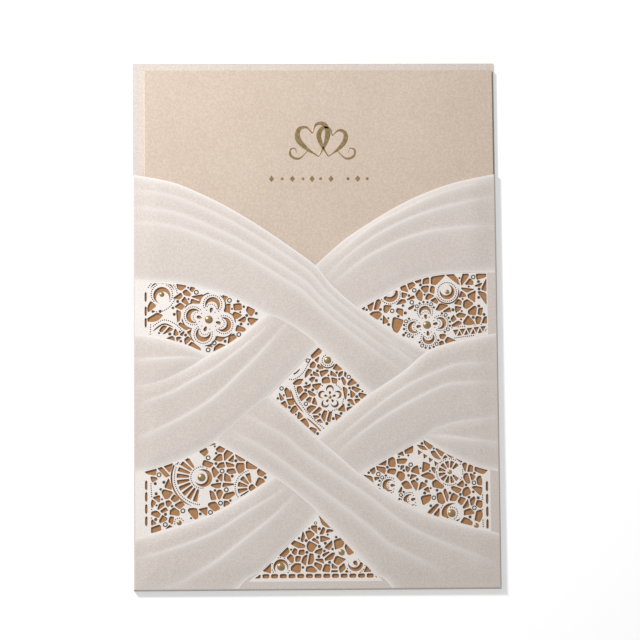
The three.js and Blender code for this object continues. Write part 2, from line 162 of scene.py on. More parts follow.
def drawn_in(outline, distance):
    """An outline moved inwards by a distance, along the mean of the normals of the sides at each point."""
    outline = outline if area(outline) > 0 else outline[::-1]
    before = outline - np.roll(outline, 1, axis=0)
    after = np.roll(before, -1, axis=0)
    sides = before / np.linalg.norm(before, axis=1)[:, None] + after / np.linalg.norm(after, axis=1)[:, None]
    length = np.linalg.norm(sides, axis=1)[:, None]
    inward = np.stack([-sides[:, 1], sides[:, 0]], axis=1) / length
    return outline + inward * distance / np.maximum(0.5, length / 2)


def inside(points, outline):
    """Whether a line from each point to the right crosses the outline an odd number of times."""
    points = np.atleast_2d(points)
    after = np.roll(outline, -1, axis=0)
    x, y = points[:, :1], points[:, 1:]
    crosses = (outline[:, 1] > y) != (after[:, 1] > y)
    rise = np.where(crosses, after[:, 1] - outline[:, 1], 1)
    meets = outline[:, 0] + (y - outline[:, 1]) * (after[:, 0] - outline[:, 0]) / rise
    return (crosses & (x < meets)).sum(axis=1) % 2 == 1


def edge_distance(points, outline):
    """Distance from each point to the nearest side of an outline."""
    points = np.atleast_2d(points)[:, None]
    side = np.roll(outline, -1, axis=0) - outline
    share = np.clip(((points - outline) * side).sum(-1) / np.maximum(1e-9, (side**2).sum(-1)), 0, 1)
    return np.linalg.norm(points - outline - share[..., None] * side, axis=-1).min(axis=1)


def ray(degrees):
    """The unit vector at an angle from the X axis: its cosine and its sine."""
    angle = np.radians(degrees)
    return np.stack([np.cos(angle), np.sin(angle)], axis=-1)


def arc(middle, radius, start, stop, count):
    """Points on a circle between two angles."""
    return np.asarray(middle) + radius * ray(np.linspace(start, stop, count))


def normals(line):
    """The unit vectors to the left of a curve: at each point the way ahead, turned by a quarter."""
    ahead = np.gradient(line, axis=0)
    return np.stack([-ahead[:, 1], ahead[:, 0]], axis=1) / np.linalg.norm(ahead, axis=1)[:, None]


def window_rim(name):
    """The outline in which a window's lace is cut: its seams, drawn in by the rim and clipped at the
    borders."""
    outline = np.vstack([seam(part, 14) for part in window_seams[name]])
    outline = outline[np.linalg.norm(outline - np.roll(outline, 1, axis=0), axis=1) > 1e-6]
    outline = clipped(drawn_in(outline, rim_width), np.array([1.0, 0.0]), border - half_width)
    outline = clipped(outline, np.array([-1.0, 0.0]), border - half_width)
    return clipped(outline, np.array([0.0, 1.0]), foot_border - half_height)


class LaceWindow:
    """One window: its gaps and pin holes, the foil on its lace, and the discs that stay paper."""

    def __init__(self, name, pitch, seed):
        self.rim = window_rim(name)
        self.pitch = pitch
        self.random = np.random.default_rng(seed)
        self.gaps, self.pins, self.dots, self.rings, self.studs, self.solid = [], [], [], [], [], []

    def cut(self, outline, margin=0.25):
        """Cuts a gap; where it crosses the rim, its points move towards its middle until they are inside."""
        outline = np.asarray(outline, float)
        within = inside(outline, self.rim)
        if not within.any():
            return
        middle, moved = outline[within].mean(axis=0), outline
        for share in (0.85, 0.7, 0.55, 0.4, 0.25):
            over = ~inside(moved, self.rim) | (edge_distance(moved, self.rim) < margin)
            moved = np.where(over[:, None], middle + (outline - middle) * share, moved)
        over = ~inside(moved, self.rim) | (edge_distance(moved, self.rim) < 0.5 * margin)
        if (~over).sum() > 2 and abs(area(moved[~over])) > 0.15:
            self.gaps.append(moved[~over])

    def keep(self, x, y, radius):
        """Leaves a disc of paper whole."""
        self.solid.append((x, y, radius))

    def band(self, points, width):
        """Keeps a strip of paper along a curve."""
        self.solid += [(x, y, width / 2) for x, y in spline(points, 30)]

    def crescent(self, middle, radius, hollow, shift, toward):
        """Between a circle and a smaller one that is moved away from the thick side."""
        horn = np.degrees(np.arccos((radius**2 + shift**2 - hollow**2) / (2 * radius * shift)))
        mouth = np.degrees(np.arccos((hollow**2 + shift**2 - radius**2) / (2 * hollow * shift)))
        core = np.asarray(middle) - shift * ray(toward)
        outer = arc(middle, radius, toward - 180 + horn, toward + 180 - horn, 20)
        self.cut(np.vstack([outer, arc(core, hollow, toward + mouth, toward - mouth, 16)[1:-1]]))

    def drop(self, middle, length, width, toward):
        """An ellipse whose width grows towards one end, as a drop's does."""
        x, y = ray(np.linspace(0, 360, 12, endpoint=False)).T
        along, side = length / 2 * x, width / 2 * y * (1 + 0.35 * x)
        self.cut(np.asarray(middle) + along[:, None] * ray(toward) + side[:, None] * ray(toward + 90))

    def slit(self, points, width):
        """A narrow gap along a curve, thin at both ends: its width follows the sine of the way along, but is
        never less than a quarter nor more than the whole."""
        line = spline(points, max(8, 3 * len(points)))
        swell = width / 2 * np.clip(2.2 * np.sin(np.linspace(0, np.pi, len(line))), 0.25, 1)[:, None]
        edge = normals(line) * swell
        self.cut(np.vstack([line + edge, (line - edge)[::-1]]))

    def pin_row(self, points, pitch=0.72, radius=0.24):
        """Pin holes at an even pitch along a curve."""
        line = spline(points, 200)
        count = int(np.linalg.norm(np.diff(line, axis=0), axis=1).sum() / pitch) + 1
        self.pins += [(x, y, radius) for x, y in spline(points, max(2, count))]

    def fan(self, middle, inner, outer, start, stop, count, bar_share=0.2):
        """Wedges between two circles, with bars between them."""
        step = (stop - start) / count
        for low in start + step * (np.arange(count) + bar_share / 2):
            high = low + step * (1 - bar_share)
            wedge = np.vstack([arc(middle, outer, low, high, 5), arc(middle, inner, high, low, 3)])
            self.cut(softened(wedge))

    def petal(self, heart, toward, reach=5.3, size=2.6, drop=1.9, edging="slits"):
        """A flower's petal: a crescent round a drop, rows of pin holes, and slits or foil round them."""
        heart = np.asarray(heart, float)
        middle, core = heart + reach * ray(toward), heart + 0.7 * reach * ray(toward)
        self.crescent(middle, size, 0.78 * size, 0.42 * size, toward)
        self.drop(heart + 0.62 * reach * ray(toward), drop, 0.6 * drop, toward)
        self.pin_row(arc(core, 0.66 * size, toward - 120, toward + 120, 8), 0.66, 0.21)
        self.pin_row(arc(middle, size + 0.6, toward - 125, toward + 125, 9), 0.7, 0.23)
        self.keep(*core, size)
        self.keep(*middle, size + 1.75)
        if edging == "slits":
            for side in (-1, 1):
                lobe = middle + 0.8 * ray(toward + 90 * side)
                self.slit(arc(lobe, size + 1.15, toward + side * 14, toward + side * 100, 7), 0.45)
            return
        for index, (x, y) in enumerate(arc(middle, size + 1.35, toward - 72, toward + 72, 7)):
            if index in (1, 5):
                self.ring(x, y, 0.62)
            else:
                self.dot(x, y, 0.38)

    def dot(self, x, y, radius=0.48):
        """A foil dot on a slightly wider disc of paper."""
        self.dots.append((x, y, radius))
        self.keep(x, y, radius + 0.24)

    def ring(self, x, y, radius=0.8):
        """A foil ring on a slightly wider disc of paper."""
        self.rings.append((x, y, radius))
        self.keep(x, y, radius + 0.25)

    def stud(self, x, y, radius):
        """A domed foil stud on a disc of paper half a millimetre wider all round."""
        self.studs.append((x, y, radius))
        self.keep(x, y, radius + 0.5)

    def scatter(self, count, clear=1.5):
        """Foil dots at random places that are clear of what is already there."""
        low, high = self.rim.min(axis=0), self.rim.max(axis=0)
        places = self.random.uniform(low, high, (60 * count, 2))
        places = places[inside(places, self.rim)]
        places = places[edge_distance(places, self.rim) > 0.5]
        for x, y in places:
            taken = np.array(self.solid or [(999, 999, 0)])
            if count and (np.hypot(taken[:, 0] - x, taken[:, 1] - y) - taken[:, 2]).min() > clear:
                self.dot(x, y, self.random.choice([0.34, 0.42, 0.5]))
                count -= 1

    def web(self):
        """Fills the rest: each cell is the part of the window nearest to one scattered seed, less half a bar,
        clipped where it would reach into a disc that stays paper."""
        low, high = self.rim.min(axis=0), self.rim.max(axis=0)
        row_pitch = self.pitch * np.sqrt(3) / 2
        row, column = np.indices([int(n) + 2 for n in (high - low)[::-1] / (row_pitch, self.pitch)])
        seeds = np.stack([(column + row % 2 / 2) * self.pitch, row * row_pitch], axis=-1).reshape(-1, 2) + low
        seeds += self.random.uniform(-0.38, 0.38, seeds.shape) * self.pitch
        seeds = seeds[inside(seeds, self.rim)]
        discs = np.array(self.solid)
        room = np.linalg.norm(seeds[:, None] - discs[None, :, :2], axis=-1) - discs[:, 2]
        seeds = seeds[room.min(axis=1) > 0.1]
        for seed in seeds:
            away = seed - seeds
            far = np.linalg.norm(away, axis=1)
            near = (far > 0) & (far < 3.2 * self.pitch)
            lines = [(v / d, (seed + other) @ v / d / 2 + bar_width / 2)
                     for v, d, other in zip(away[near], far[near], seeds[near])]
            away = seed - discs[:, :2]
            far = np.linalg.norm(away, axis=1)
            near = far < discs[:, 2] + 2.5 * self.pitch
            lines += [(v / d, disc[:2] @ v / d + disc[2])
                      for v, d, disc in zip(away[near], far[near], discs[near])]
            cell = self.rim
            for direction, offset in lines:
                cell = clipped(cell, direction, offset) if len(cell) > 2 else cell
            if len(cell) > 2 and abs(area(cell)) > 0.4:
                self.gaps.append(softened(cell, 0.16))

    def clear_pins(self):
        """Drops the pin holes that would run into the rim, a gap or each other."""
        pins = np.array(self.pins)
        pins = pins[inside(pins[:, :2], self.rim)]
        pins = pins[edge_distance(pins[:, :2], self.rim) > 0.3]
        for gap in self.gaps:
            pins = pins[~inside(pins[:, :2], gap)]
            pins = pins[edge_distance(pins[:, :2], gap) > pins[:, 2] + 0.1]
        apart = np.linalg.norm(pins[:, None, :2] - pins[None, :, :2], axis=-1) + 9 * np.tri(len(pins)).T
        self.pins = pins[apart.min(axis=1) > 0.46]


left = LaceWindow("left", 3.1, 3)
left_flower = (-37.2, 1.6)
for toward in (76, 166, 249, -19):
    left.petal(left_flower, toward, reach=5.5)
left.stud(*left_flower, 1.4)
left.stud(-53.5, 10.5, 0.9)
left.crescent((-53.5, 10.1), 3.0, 2.3, 1.0, 110)
left.pin_row(arc((-53.5, 10.5), 3.7, -40, 220, 14))
left.slit(arc((-53.5, 10.3), 4.6, 150, 20, 8), 0.5)
left.pin_row(arc((-53.5, 10.3), 5.4, 0, 150, 12))
left.keep(-53.5, 10.3, 4.0)
left.band(arc((-53.5, 10.3), 4.9, 10, 160, 9), 2)
left.pin_row([(-57.5, 4.8), (-54, 4.4), (-50.5, 6.4), (-48, 10.5)])
for y in (9.6, 4.6, 0.6):
    left.slit([(-59.1, y + 1.7), (-59.1, y - 1.7)], 0.8)
left.band([(-59.3, 12), (-59.3, -2)], 1.5)
left.pin_row([(-57.6, 3), (-57.4, 0), (-57.6, -3.4)])
left.pin_row([(-57, -1), (-53, 1.5), (-49, 0.2), (-46.6, -2.2)])
left.slit([(-56.6, -2.4), (-53, 0.1), (-49.6, -1)], 0.55)
left.band([(-57, -1.5), (-53, 0.8), (-49, -0.4)], 2.4)
for x, y in ((-30, 8.3), (-35.4, -6.6), (-26.8, -3.7), (-37.5, -9), (-41.5, 11.2)):
    left.ring(x, y)
for x, y in ((-26, 0), (-31.6, -6), (-24, 3), (-20.7, 3.7), (-27, 8), (-45.3, -3.8), (-49.2, 3.5), (-48, 8)):
    left.dot(x, y)

right = LaceWindow("right", 3.1, 5)
right_flower = (38.8, -0.6)
for toward in (98, 190, 276, 8):
    right.petal(right_flower, toward, reach=4.7, size=2.1, drop=1.8, edging="foil")
right.stud(*right_flower, 1.4)
right.stud(46, 11, 0.8)
right.crescent((46, 11), 2.6, 2.0, 0.9, 300)
right.pin_row(arc((46, 11), 3.3, 0, 360, 14))
right.slit(arc((46, 11), 4.1, 200, 380, 8), 0.5)
right.keep(46, 11, 4.4)
right.crescent((26, 10.4), 2.9, 2.2, 1.1, 285)
right.pin_row(arc((26, 10.4), 1.3, 180, 360, 6), 0.5, 0.15)
right.pin_row(arc((26, 10.4), 3.6, 190, 370, 9))
right.keep(26, 10.4, 4)
for index in range(5):
    x, y = 47.8 + 2.4 * index, -2.4 + 0.3 * index
    right.cut([(x, y), (x + 2, y + 0.2), (x + 1, y - 1.9)])
    right.cut([(x + 1.5, y - 2.1), (x + 2.3, y - 0.2), (x + 3.1, y - 1.9)])
right.pin_row([(47.5, -1.6), (60, -0.2)])
right.pin_row([(48.5, -5.2), (60, -3.7)])
right.band([(47.5, -3.3), (60, -2)], 3.8)
for x, y in ((26.7, 4.4), (34.5, 11.6), (33.6, 7.4), (55.2, 16.2)):
    right.ring(x, y, 0.75)
for x, y in ((25.4, -0.4), (30.6, -4.1), (22.6, 4.9), (36.7, 13.5), (55, 2), (58.8, 3), (57, 6), (57, 9),
             (57.2, 12), (57, 14.6)):
    right.dot(x, y)

diamond = LaceWindow("diamond", 2.8, 7)
rosette = np.array((4.7, -25.7))
for toward in 90 + 72 * np.arange(5):
    diamond.crescent(rosette + 2.9 * ray(toward), 1.35, 1.05, 0.55, toward)
    diamond.drop(rosette + 1.5 * ray(toward), 1.2, 0.8, toward)
diamond.pin_row(arc(rosette, 4.8, 0, 360, 24))
diamond.stud(*rosette, 0.6)
diamond.keep(*rosette, 4.9)
diamond.stud(4, -12.8, 1.3)
diamond.pin_row(arc((4, -12.8), 1.9, 0, 360, 12))
diamond.slit(arc((4, -12.8), 2.7, 200, 340, 6), 0.5)
diamond.keep(4, -12.8, 3)
diamond.pin_row([(-7.6, -22), (-6, -27), (-2, -32.5), (3.5, -37.5)])
diamond.slit([(-9, -23), (-7.6, -27), (-4.6, -31)], 0.55)
diamond.slit([(-3.4, -33), (-0.4, -35.6), (2.2, -38.4)], 0.55)
diamond.band([(-8.2, -22.4), (-6.6, -27.2), (-2.8, -32.7), (3, -38)], 2.2)
diamond.pin_row([(-12, -18.5), (-8, -19.5), (-4.5, -17), (-2, -12.5)])
diamond.slit([(-10.6, -17), (-7.8, -17.6), (-5.6, -15.8)], 0.5)
diamond.band([(-12, -18.2), (-8, -18.9), (-4.6, -16.4), (-2.4, -12.5)], 2)
for x, y in ((11.3, -18.7), (-12.1, -22.6), (-3.7, -28), (-2.9, -12.9)):
    diamond.ring(x, y, 0.72)
for x, y in ((14.4, -21.7), (14, -25.6), (11.2, -28.4), (8.5, -31.4), (5.8, -33.2), (0.3, -38.4),
             (-9.4, -29.2), (0.4, -16.5)):
    diamond.dot(x, y)

lower_left = LaceWindow("lower_left", 3.1, 11)
shell = np.array((-40, -53.4))
lower_left.stud(*shell, 1.4)
lower_left.crescent(shell + (0.6, -0.2), 3.1, 2.4, 1.0, -20)
lower_left.fan(shell, 4.3, 8.6, 120, 262, 9, 0.3)
lower_left.pin_row(arc(shell, 3.7, 60, 300, 14))
lower_left.pin_row(arc(shell, 9.4, 115, 265, 22))
lower_left.slit(arc(shell, 10.4, 130, 250, 10), 0.6)
lower_left.keep(*shell, 4)
for x, y in arc(shell, 6.9, 120, 262, 13):
    lower_left.keep(x, y, 3.9)
fan_foot = np.array((-22.4, -57))
lower_left.fan(fan_foot, 1.8, 5.2, 95, 265, 6, 0.26)
lower_left.pin_row(arc(fan_foot, 6, 105, 255, 14))
for x, y in arc(fan_foot, 3.9, 100, 260, 9):
    lower_left.keep(x, y, 2.5)
for x, y in ((-31.5, -57.7), (-33.5, -62.3), (-37, -65.5), (-32.9, -51.2), (-46.5, -64.9), (-54.7, -52.4),
             (-37.7, -46.6), (-52.6, -69.6)):
    lower_left.ring(x, y, 0.8)
lower_left.stud(-47.8, -69, 0.9)
lower_left.pin_row(arc((-47.8, -69), 1.6, 0, 360, 10))
lower_left.keep(-47.8, -69, 2)
for x, y in ((-40.5, -66), (-34.6, -54.6), (-29.4, -53), (-35, -48.6)):
    lower_left.dot(x, y)
for y in (-56, -60, -64.2, -68.4):
    lower_left.slit([(-59.1, y + 1.7), (-59.1, y - 1.7)], 0.85)
lower_left.pin_row([(-57.6, -54), (-57.2, -62), (-57.6, -71)])
lower_left.band([(-58.8, -54), (-58.8, -71)], 2.6)

lower_right = LaceWindow("lower_right", 3.1, 13)
for heart, toward in (((28.4, -56.6), 178), ((35.4, -60.8), 196)):
    lower_right.petal(heart, toward, reach=3.6, size=2.2, drop=1.7, edging="foil")
spiral = np.array((46, -52))
lower_right.stud(*spiral, 0.8)
lower_right.fan(spiral, 1.5, 3.9, 30, 330, 10, 0.28)
lower_right.pin_row(arc(spiral, 4.6, 0, 360, 24))
lower_right.keep(*spiral, 4.9)
lower_right.stud(46.5, -66.3, 1.4)
lower_right.pin_row(arc((46.5, -66.3), 2.1, 0, 360, 12))
lower_right.crescent((46.5, -66.3), 3.5, 2.8, 1.2, 200)
lower_right.pin_row(arc((46.5, -66.3), 4.1, 120, 330, 14))
lower_right.keep(46.5, -66.3, 4.2)
for index in range(4):
    x, y = 35 + 1.9 * index, -44.2 - 1.3 * index
    lower_right.cut([(x, y), (x + 1.5, y - 0.9), (x + 0.2, y - 1.9)])
lower_right.band([(34.8, -44.8), (41.6, -49.2)], 2.8)
for x, y in ((41.5, -58.3), (46, -59.3), (49.6, -59.8), (52.6, -60.8), (36.5, -42), (30.1, -51.4),
             (34.7, -54.5), (39.3, -63.7), (24.4, -50.2)):
    lower_right.dot(x, y, 0.46)
lower_right.stud(55, -70.6, 0.9)
for x, y in ((21.2, -52.6), (32.5, -49.4), (40.4, -60.9), (54.4, -55.8), (54.4, -64.5)):
    lower_right.ring(x, y, 0.75)
for y in (-57, -61.4, -65.8, -70.2):
    lower_right.slit([(58.9, y + 1.8), (58.9, y - 1.8)], 0.85)
lower_right.pin_row([(57.4, -55), (57.2, -63), (57.4, -71)])
lower_right.band([(58.6, -54), (58.6, -72)], 2.6)

foot = LaceWindow("foot", 2.9, 17)
foot.stud(-12.8, -84.4, 1.4)
foot.crescent((-12.8, -84.4), 2.6, 2.15, 0.75, 100)
foot.pin_row(arc((-12.8, -84.4), 3.2, 0, 360, 16))
foot.keep(-12.8, -84.4, 3.4)
foot.crescent((13, -83.6), 2.6, 2.1, 1.0, 300)
foot.drop((13, -83.4), 2.0, 1.4, 120)
foot.pin_row(arc((13, -83.6), 3.3, 210, 400, 10))
foot.keep(13, -83.6, 3.6)
foot.stud(8.2, -79.6, 1.1)
for x in np.arange(-22.2, 22, 3.0):
    foot.cut(softened(np.array([(x, -86.9), (x + 2.4, -86.9), (x + 2.4, -88.4), (x, -88.4)])), 0.1)
foot.band([(-27, -88), (28, -88)], 3.1)
for x, y in ((-3.8, -79.5), (0.3, -81), (0.6, -71.4), (-0.1, -74.4), (2.6, -76.4), (4, -83)):
    foot.dot(x, y)
foot.ring(-0.7, -69.4, 0.5)

windows = (left, right, diamond, lower_left, lower_right, foot)
for window, dots in zip(windows, (14, 14, 16, 16, 16, 10)):
    window.scatter(dots)
    window.web()
    window.clear_pins()


def as_mesh(name, vertices, faces, smooth=False):
    """An object at the origin from points in millimetres and triangles or quads."""
    mesh = bpy.data.meshes.new(name)
    faces = np.asarray(faces, np.int32)
    mesh.vertices.add(len(vertices))
    mesh.vertices.foreach_set("co", (np.asarray(vertices) * mm).astype(np.float32).ravel())
    mesh.loops.add(faces.size)
    mesh.loops.foreach_set("vertex_index", faces.ravel())
    mesh.polygons.add(len(faces))
    mesh.polygons.foreach_set("loop_start", np.arange(0, faces.size, faces.shape[1], dtype=np.int32))
    mesh.polygons.foreach_set("use_smooth", np.full(len(faces), smooth))
    mesh.update(calc_edges=True)
    mesh.validate()
    piece = bpy.data.objects.new(name, mesh)
    bpy.context.scene.collection.objects.link(piece)
    return piece


def flat_triangles(outline, gaps, fields=()):
    """The triangulation of an outline, its gaps and its fields of colour, with all their sides as edges. A
    triangle stays where its middle, the mean of its corners, is inside the outline and in no gap."""
    rings = [outline, *gaps, *fields]
    starts = np.cumsum([0] + [len(ring) for ring in rings])
    runs = [np.arange(start, stop) for start, stop in zip(starts[:-1], starts[1:])]
    sides = [np.column_stack([run, np.roll(run, -1)]) for run in runs]
    corners = [tuple(point) for point in np.vstack(rings)]
    points, _, triangles, *_ = geometry.delaunay_2d_cdt(corners, np.vstack(sides).tolist(), [], 0, 1e-5)
    points, triangles = np.array([tuple(point) for point in points]), np.array(triangles)
    middles = points[triangles].mean(axis=1)
    solid = inside(middles, outline)
    for gap in gaps:
        near = np.flatnonzero(((middles > gap.min(axis=0)) & (middles < gap.max(axis=0))).all(axis=1))
        solid[near[inside(middles[near], gap)]] = False
    return points, triangles[solid]


def plate(points, triangles, low, high):
    """A flat sheet from a triangulation: the triangles at both heights, the lower ones turned over, and a
    wall of two triangles under each edge that only one triangle has. The walls' count is returned too."""
    count = len(points)
    edges = np.vstack([triangles[:, [0, 1]], triangles[:, [1, 2]], triangles[:, [2, 0]]])
    keys = np.sort(edges, axis=1) @ (count, 1)
    _, first, times = np.unique(keys, return_index=True, return_counts=True)
    a, b = edges[first[times == 1]].T
    walls = np.vstack([np.stack([b, a, a + count], axis=1), np.stack([b, a + count, b + count], axis=1)])
    vertices = [np.column_stack([points, np.full(count, height)]) for height in (high, low)]
    return np.vstack(vertices), np.vstack([triangles, triangles[:, ::-1] + count, walls]), len(walls)


gaps = [gap for window in windows for gap in window.gaps]
pins = np.vstack([window.pins for window in windows])
pin_gaps = list(pins[:, None, :2] + pins[:, 2:, None] * ray(60 * np.arange(6)))
mouth = np.vstack([seam("mouth_right", 40), seam("-mouth_left", 40)[1:]])
mouth = mouth[np.abs(mouth[:, 0]) < panel_side]
side_head = on_page(seams["mouth_left"][0])[1]
side_top = side_head - side_step
panel_outline = np.vstack([
    mouth, (-panel_side, side_top), (-panel_side, panel_foot), (panel_side, panel_foot),
    (panel_side, side_top)])
lace_fields = [drawn_in(window.rim, -bare_rim) for window in windows]
# The two left windows' ivory fields reach over the border: painted light on the lit left side
for index in (windows.index(left), windows.index(lower_left)):
    lace_fields[index] = drawn_in(windows[index].rim, -painted_light_border)
sheet_points, sheet_triangles = flat_triangles(panel_outline, gaps + pin_gaps, lace_fields)
vertices, faces, wall_count = plate(sheet_points, sheet_triangles, panel_under, panel_top)
pocket_front = as_mesh("pocket_front", vertices, faces)
# The sheet is pressed paper, but for the cut walls, which are burnt, and the lace, which is bare ivory.
# Beside the two left windows the border strip is ivory too: a painted highlight on the side the light comes
# from.
pressed_tone, burnt_tone, ivory_tone = 0, 1, 2
tones = np.full(len(faces), pressed_tone, np.int32)
tones[-wall_count:] = burnt_tone
middles = vertices[faces].mean(axis=1)
tones[np.abs(middles[:, 0]) > panel_side - 0.05] = pressed_tone
for field in lace_fields:
    tones[inside(middles[:, :2], field) & (tones == pressed_tone)] = ivory_tone
pocket_front.data.polygons.foreach_set("material_index", tones)


def shader_group(name, inputs, outputs):
    """An empty node group with the named inputs, which are numbers, and outputs."""
    tree = bpy.data.node_groups.new(name, "ShaderNodeTree")
    for label, value in inputs.items():
        tree.interface.new_socket(label, in_out="INPUT", socket_type="NodeSocketFloat").default_value = value
    for label in outputs:
        tree.interface.new_socket(label, in_out="OUTPUT", socket_type="NodeSocketFloat")
    return tree, tree.nodes.new("NodeGroupInput"), tree.nodes.new("NodeGroupOutput")


def node(tree, kind, links=(), **settings):
    """Adds a node, sets its named settings and sockets, and links sources to its sockets."""
    made = tree.nodes.new(kind)
    for label, value in settings.items():
        if hasattr(made, label):
            setattr(made, label, value)
        else:
            made.inputs[label.replace("_", " ")].default_value = value
    for source, socket in links:
        tree.links.new(source, made.inputs[socket])
    return made


def new_material(name):
    """A material, its node tree and its main shader."""
    material = bpy.data.materials.new(name)
    material.use_nodes = True
    return material, material.node_tree, material.node_tree.nodes["Principled BSDF"]


# Pearl coating: flakes of mica in the surface, each a little brighter or darker, over the felt of the paper
pearl_tree, pearl_in, pearl_out = shader_group(
    "pearl_coating", {"Flake size": 0.5, "Felt size": 1.4, "Cloud size": 22.0}, ("Flakes", "Felt", "Clouds"))
place = node(pearl_tree, "ShaderNodeTexCoord").outputs["Object"]
for size, output, detail, low in (
        ("Flake size", "Flakes", 1.0, 0.35), ("Felt size", "Felt", 4.0, 0.3),
        ("Cloud size", "Clouds", 2.0, 0.3)):
    scale = node(pearl_tree, "ShaderNodeMath", [(pearl_in.outputs[size], 1)], operation="DIVIDE")
    scale.inputs[0].default_value = 1000
    noise = node(
        pearl_tree, "ShaderNodeTexNoise", [(place, "Vector"), (scale.outputs[0], "Scale")], Detail=detail)
    spread = node(
        pearl_tree, "ShaderNodeMapRange", [(noise.outputs["Fac"], "Value")], From_Min=low, From_Max=0.7)
    pearl_tree.links.new(spread.outputs["Result"], pearl_out.inputs[output])


def pearl_paper(name, dark, light, rough, sheen, bump, flake_size=0.5, highlight_tone=None):
    """Pearl paper: its colour runs between two tones with the flakes and the clouds, the felt lifts its face,
    and the flakes gloss more than the paper between them. Where the mesh's painted highlight attribute is
    set, it turns to a third, lighter tone: a painted highlight."""
    material, tree, shader = new_material(name)
    pearl = node(tree, "ShaderNodeGroup")
    pearl.node_tree = pearl_tree
    pearl.inputs["Flake size"].default_value = flake_size
    flakes, felt, clouds = (pearl.outputs[label] for label in ("Flakes", "Felt", "Clouds"))
    blend = node(tree, "ShaderNodeMix", [(flakes, "A"), (clouds, "B")], data_type="FLOAT", Factor=0.25)
    tone = node(
        tree, "ShaderNodeMix", [(blend.outputs["Result"], "Factor")],
        data_type="RGBA", A=(*dark, 1), B=(*light, 1))
    tree.links.new(tone.outputs["Result"], shader.inputs["Base Color"])
    if highlight_tone:
        # Painted highlight: a lighter tone mixed in where the mesh's attribute marks edges and crests that
        # catch the light
        painted_highlight = node(tree, "ShaderNodeAttribute", attribute_name="painted_highlight")
        highlighted = node(
            tree, "ShaderNodeMix", [(painted_highlight.outputs["Fac"], "Factor"), (tone.outputs["Result"], "A")],
            data_type="RGBA", B=(*highlight_tone, 1))
        tree.links.new(highlighted.outputs["Result"], shader.inputs["Base Color"])
    gloss = node(tree, "ShaderNodeMapRange", [(flakes, "Value")], To_Min=rough + 0.08, To_Max=rough - 0.1)
    tree.links.new(gloss.outputs["Result"], shader.inputs["Roughness"])
    height = node(tree, "ShaderNodeMix", [(felt, "A"), (flakes, "B")], data_type="FLOAT", Factor=0.35)
    relief = node(
        tree, "ShaderNodeBump", [(height.outputs["Result"], "Height")], Strength=bump, Distance=0.00005)
    tree.links.new(relief.outputs["Normal"], shader.inputs["Normal"])
    shader.inputs["Specular IOR Level"].default_value = 0.2
    shader.inputs["Sheen Weight"].default_value = sheen
    shader.inputs["Sheen Roughness"].default_value = 0.5
    return material


ivory = pearl_paper("ivory_pearl_paper", (0.76, 0.70, 0.66), (0.88, 0.83, 0.79), 0.6, 0.06, 0.22)
# Its third tone is a painted highlight along the drapes' rolled edges and pleat crests
pressed_ivory = pearl_paper(
    "pressed_ivory_pearl_paper", (0.575, 0.51, 0.465), (0.69, 0.625, 0.58), 0.6, 0.06, 0.25,
    highlight_tone=(0.83, 0.775, 0.745))
burnt = pearl_paper("burnt_paper_edge", (0.20, 0.09, 0.035), (0.42, 0.22, 0.11), 0.8, 0, 0.3)
for finish in (pressed_ivory, burnt, ivory):
    pocket_front.data.materials.append(finish)
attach(pocket_front, "root")
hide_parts("pocket")


# Drapes
# Eight broad folds pressed into the front panel, like cloth drawn across it. They are part of the same
# sheet; each has a rolled edge on both sides and soft pleats, and one end of it dives under another fold.

edge_step = 0.03
crown_height = 0.34
roll_width = 4.5
pleat_rise = 0.15
tuck_length = 14
tucked = 0.02
fade_width = 9
above_sheet = 0.012
sunk_depth = 0.15
# Painted highlight: a lighter tone painted along the drapes' edges and pleat crests where light catches them;
# its width, and its share on the crests
painted_highlight_width = 1.1
crest_highlight = 0.6
steep_side, slow_side = 0.55, 1.5

